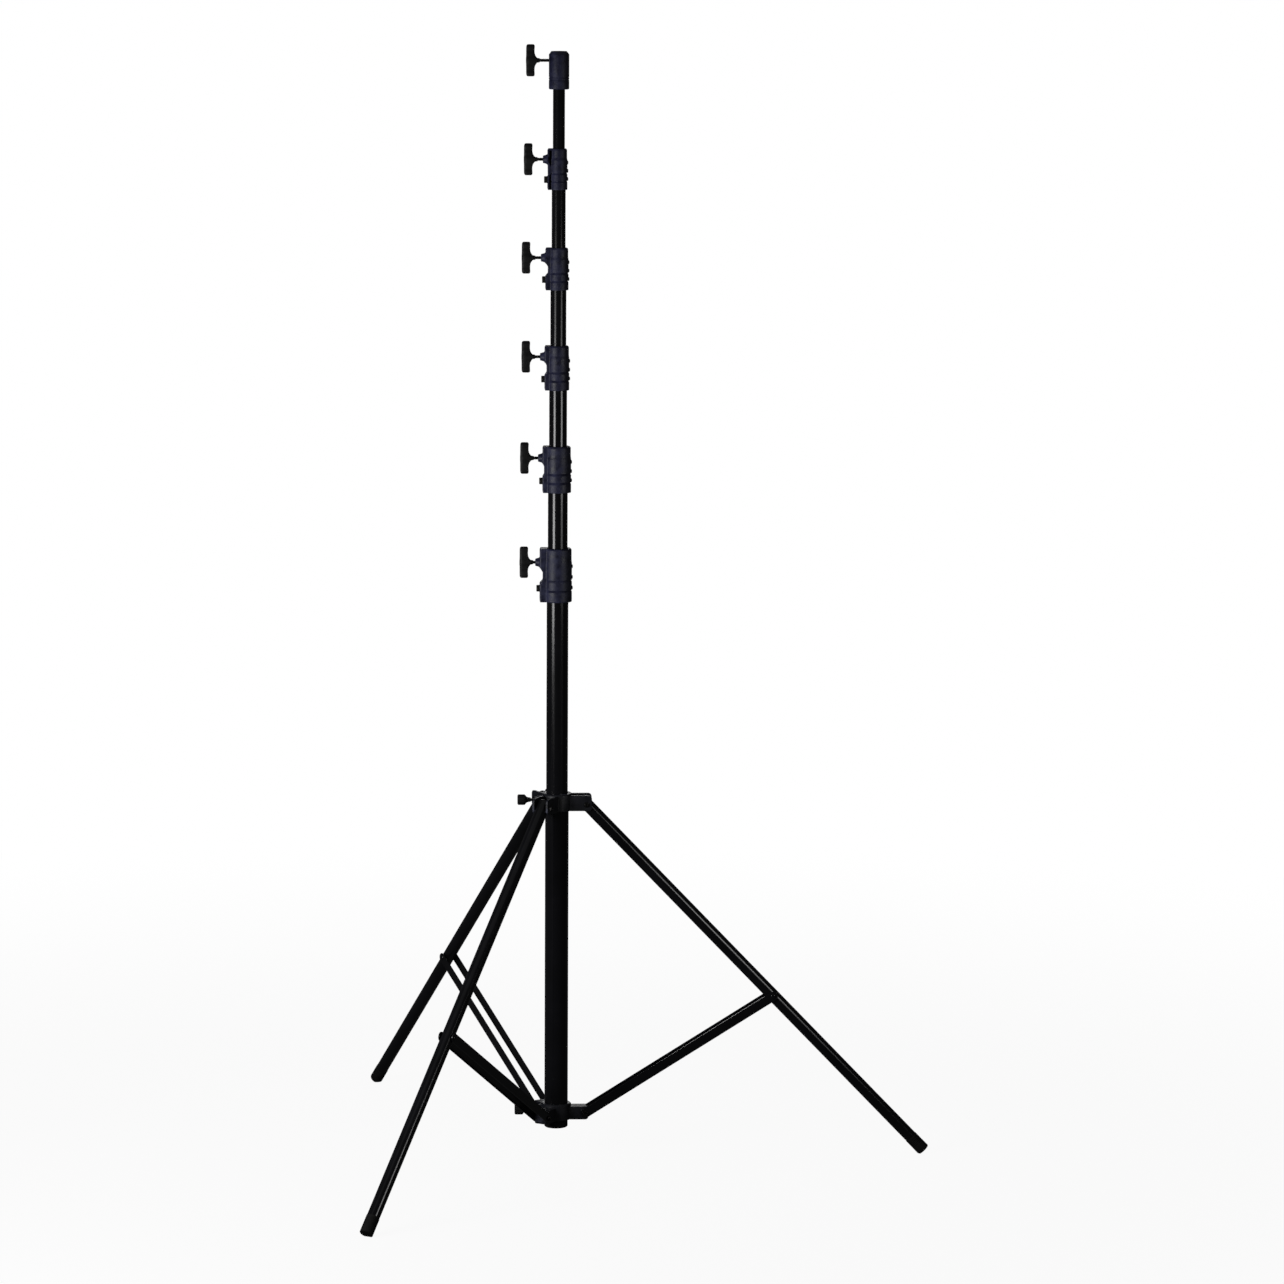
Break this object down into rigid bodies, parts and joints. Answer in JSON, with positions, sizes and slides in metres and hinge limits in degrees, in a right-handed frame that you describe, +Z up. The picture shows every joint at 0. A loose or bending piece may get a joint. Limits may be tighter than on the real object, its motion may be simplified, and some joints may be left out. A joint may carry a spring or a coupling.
{
  "type": "telescopic high stand",
  "caption": "Tall telescopic stand with clamped risers, a socket head for a spigot and a folding braced tripod base, each riser locked by a T-handle screw.",
  "frame": {"origin": "on the floor, on the axis of the column", "axes": "+Z up the column, +X towards leg 1, the locks face -X"},
  "size_m": [1.4533, 1.6728, 2.848],
  "materials": {
    "tube_black": "gloss",
    "cast_black": "satin hammered",
    "plastic_black": "matte",
    "steel": "black oxide, worn on the edges",
    "nylon": "matte",
    "rubber": "matte"
  },
  "bodies": {
    "column": {"base_tube": "tube_black", "base_sleeve": "tube_black", "base_end_cap": "rubber", "lower_spider": "cast_black", "lower_spider_bolts": "steel", "collar_1": "cast_black", "collar_1_bush": "nylon", "collar_1_bolts": "steel"},
    "riser_1": {"riser_1_tube": "tube_black", "riser_1_guide": "nylon", "collar_2": "cast_black", "collar_2_bush": "nylon", "collar_2_bolts": "steel"},
    "riser_2": {"riser_2_tube": "tube_black", "riser_2_guide": "nylon", "collar_3": "cast_black", "collar_3_bush": "nylon", "collar_3_bolts": "steel"},
    "riser_3": {"riser_3_tube": "tube_black", "riser_3_guide": "nylon", "collar_4": "cast_black", "collar_4_bush": "nylon", "collar_4_bolts": "steel"},
    "riser_4": {"riser_4_tube": "tube_black", "riser_4_guide": "nylon", "collar_5": "cast_black", "collar_5_bush": "nylon", "collar_5_bolts": "steel"},
    "riser_5": {"riser_5_tube": "tube_black", "riser_5_guide": "nylon", "head_socket": "cast_black", "head_bolt": "steel"},
    "leg_slider": {"leg_collar": "cast_black", "leg_collar_bolts": "steel"},
    "leg_1": {"leg_1_tube": "tube_black", "leg_1_foot": "rubber"},
    "strut_1": {"strut_1": "tube_black"},
    "leg_2": {"leg_2_tube": "tube_black", "leg_2_foot": "rubber"},
    "strut_2": {"strut_2": "tube_black"},
    "leg_3": {"leg_3_tube": "tube_black", "leg_3_foot": "rubber"},
    "strut_3": {"strut_3": "tube_black"},
    "lock_1_screw": {"lock_1_screw": "steel"},
    "lock_1_handle": {"lock_1_handle": "plastic_black"},
    "lock_2_screw": {"lock_2_screw": "steel"},
    "lock_2_handle": {"lock_2_handle": "plastic_black"},
    "lock_3_screw": {"lock_3_screw": "steel"},
    "lock_3_handle": {"lock_3_handle": "plastic_black"},
    "lock_4_screw": {"lock_4_screw": "steel"},
    "lock_4_handle": {"lock_4_handle": "plastic_black"},
    "lock_5_screw": {"lock_5_screw": "steel"},
    "lock_5_handle": {"lock_5_handle": "plastic_black"},
    "head_lock_screw": {"head_lock_screw": "steel"},
    "head_lock_handle": {"head_lock_handle": "plastic_black"},
    "leg_lock_screw": {"leg_lock_screw": "steel"},
    "leg_lock_knob": {"leg_lock_knob": "plastic_black"},
    "spider_lock_screw": {"spider_lock_screw": "steel"},
    "spider_lock_knob": {"spider_lock_knob": "plastic_black"}
  },
  "joints": [
    {"name": "riser_1_slide", "type": "slide", "parent": "column", "child": "riser_1", "axis": [0, 0, 1], "range_m": [-0.1425, 0.9]},
    {"name": "riser_2_slide", "type": "slide", "parent": "riser_1", "child": "riser_2", "axis": [0, 0, 1], "range_m": [-0.1425, 0.9]},
    {"name": "riser_3_slide", "type": "slide", "parent": "riser_2", "child": "riser_3", "axis": [0, 0, 1], "range_m": [-0.1405, 0.9]},
    {"name": "riser_4_slide", "type": "slide", "parent": "riser_3", "child": "riser_4", "axis": [0, 0, 1], "range_m": [-0.1455, 0.9]},
    {"name": "riser_5_slide", "type": "slide", "parent": "riser_4", "child": "riser_5", "axis": [0, 0, 1], "range_m": [-0.1475, 0.9]},
    {"name": "leg_collar_slide", "type": "slide", "parent": "column", "child": "leg_slider", "axis": [0, 0, 1], "range_m": [0, 0.4571]},
    {"name": "leg_1_fold", "type": "hinge", "parent": "leg_slider", "child": "leg_1", "pos_m": [0.075, 0, 0.919], "axis": [0, 1, 0], "range_deg": [0, 41.39]},
    {"name": "strut_1_fold", "type": "hinge", "parent": "column", "child": "strut_1", "pos_m": [0.075, 0, 0.112], "axis": [0, -1, 0], "range_deg": [0, 54.52]},
    {"name": "leg_2_fold", "type": "hinge", "parent": "leg_slider", "child": "leg_2", "pos_m": [-0.0375, 0.06495, 0.919], "axis": [-0.866, -0.5, 0], "range_deg": [0, 41.39]},
    {"name": "strut_2_fold", "type": "hinge", "parent": "column", "child": "strut_2", "pos_m": [-0.0375, 0.06495, 0.112], "axis": [0.866, 0.5, 0], "range_deg": [0, 54.52]},
    {"name": "leg_3_fold", "type": "hinge", "parent": "leg_slider", "child": "leg_3", "pos_m": [-0.0375, -0.06495, 0.919], "axis": [0.866, -0.5, 0], "range_deg": [0, 41.39]},
    {"name": "strut_3_fold", "type": "hinge", "parent": "column", "child": "strut_3", "pos_m": [-0.0375, -0.06495, 0.112], "axis": [-0.866, 0.5, 0], "range_deg": [0, 54.52]},
    {"name": "lock_1_travel", "type": "slide", "parent": "column", "child": "lock_1_screw", "axis": [-1, 0, 0], "range_m": [0, 0.0025]},
    {"name": "lock_1_turn", "type": "hinge", "parent": "lock_1_screw", "child": "lock_1_handle", "pos_m": [0, 0, 1.541], "axis": [-1, 0, 0], "range_deg": [0, 720]},
    {"name": "lock_2_travel", "type": "slide", "parent": "riser_1", "child": "lock_2_screw", "axis": [-1, 0, 0], "range_m": [0, 0.0025]},
    {"name": "lock_2_turn", "type": "hinge", "parent": "lock_2_screw", "child": "lock_2_handle", "pos_m": [0, 0, 1.807], "axis": [-1, 0, 0], "range_deg": [0, 720]},
    {"name": "lock_3_travel", "type": "slide", "parent": "riser_2", "child": "lock_3_screw", "axis": [-1, 0, 0], "range_m": [0, 0.0025]},
    {"name": "lock_3_turn", "type": "hinge", "parent": "lock_3_screw", "child": "lock_3_handle", "pos_m": [0, 0, 2.064], "axis": [-1, 0, 0], "range_deg": [0, 720]},
    {"name": "lock_4_travel", "type": "slide", "parent": "riser_3", "child": "lock_4_screw", "axis": [-1, 0, 0], "range_m": [0, 0.0025]},
    {"name": "lock_4_turn", "type": "hinge", "parent": "lock_4_screw", "child": "lock_4_handle", "pos_m": [0, 0, 2.314], "axis": [-1, 0, 0], "range_deg": [0, 720]},
    {"name": "lock_5_travel", "type": "slide", "parent": "riser_4", "child": "lock_5_screw", "axis": [-1, 0, 0], "range_m": [0, 0.0025]},
    {"name": "lock_5_turn", "type": "hinge", "parent": "lock_5_screw", "child": "lock_5_handle", "pos_m": [0, 0, 2.561], "axis": [-1, 0, 0], "range_deg": [0, 720]},
    {"name": "head_lock_travel", "type": "slide", "parent": "riser_5", "child": "head_lock_screw", "axis": [-1, 0, 0], "range_m": [-0.005, 0.0025]},
    {"name": "head_lock_turn", "type": "hinge", "parent": "head_lock_screw", "child": "head_lock_handle", "pos_m": [0, 0, 2.808], "axis": [-1, 0, 0], "range_deg": [-1440, 720]},
    {"name": "leg_lock_travel", "type": "slide", "parent": "leg_slider", "child": "leg_lock_screw", "axis": [-1, 0, 0], "range_m": [0, 0.0025]},
    {"name": "leg_lock_turn", "type": "hinge", "parent": "leg_lock_screw", "child": "leg_lock_knob", "pos_m": [0, 0, 0.929], "axis": [-1, 0, 0], "range_deg": [0, 720]},
    {"name": "spider_lock_travel", "type": "slide", "parent": "column", "child": "spider_lock_screw", "axis": [-1, 0, 0], "range_m": [0, 0.0025]},
    {"name": "spider_lock_turn", "type": "hinge", "parent": "spider_lock_screw", "child": "spider_lock_knob", "pos_m": [0, 0, 0.121], "axis": [-1, 0, 0], "range_deg": [0, 720]}
  ],
  "couplings": [
    {"joint": "leg_1_fold", "follows": "leg_collar_slide", "rad_per_m": 1.5804},
    {"joint": "strut_1_fold", "follows": "leg_collar_slide", "rad_per_m": 2.0818},
    {"joint": "leg_2_fold", "follows": "leg_collar_slide", "rad_per_m": 1.5804},
    {"joint": "strut_2_fold", "follows": "leg_collar_slide", "rad_per_m": 2.0818},
    {"joint": "leg_3_fold", "follows": "leg_collar_slide", "rad_per_m": 1.5804},
    {"joint": "strut_3_fold", "follows": "leg_collar_slide", "rad_per_m": 2.0818},
    {"joint": "lock_1_turn", "follows": "lock_1_travel", "rad_per_m": 5026.5},
    {"joint": "lock_2_turn", "follows": "lock_2_travel", "rad_per_m": 5026.5},
    {"joint": "lock_3_turn", "follows": "lock_3_travel", "rad_per_m": 5026.5},
    {"joint": "lock_4_turn", "follows": "lock_4_travel", "rad_per_m": 5026.5},
    {"joint": "lock_5_turn", "follows": "lock_5_travel", "rad_per_m": 5026.5},
    {"joint": "head_lock_turn", "follows": "head_lock_travel", "rad_per_m": 5026.5},
    {"joint": "leg_lock_turn", "follows": "leg_lock_travel", "rad_per_m": 5026.5},
    {"joint": "spider_lock_turn", "follows": "spider_lock_travel", "rad_per_m": 5026.5}
  ]
}
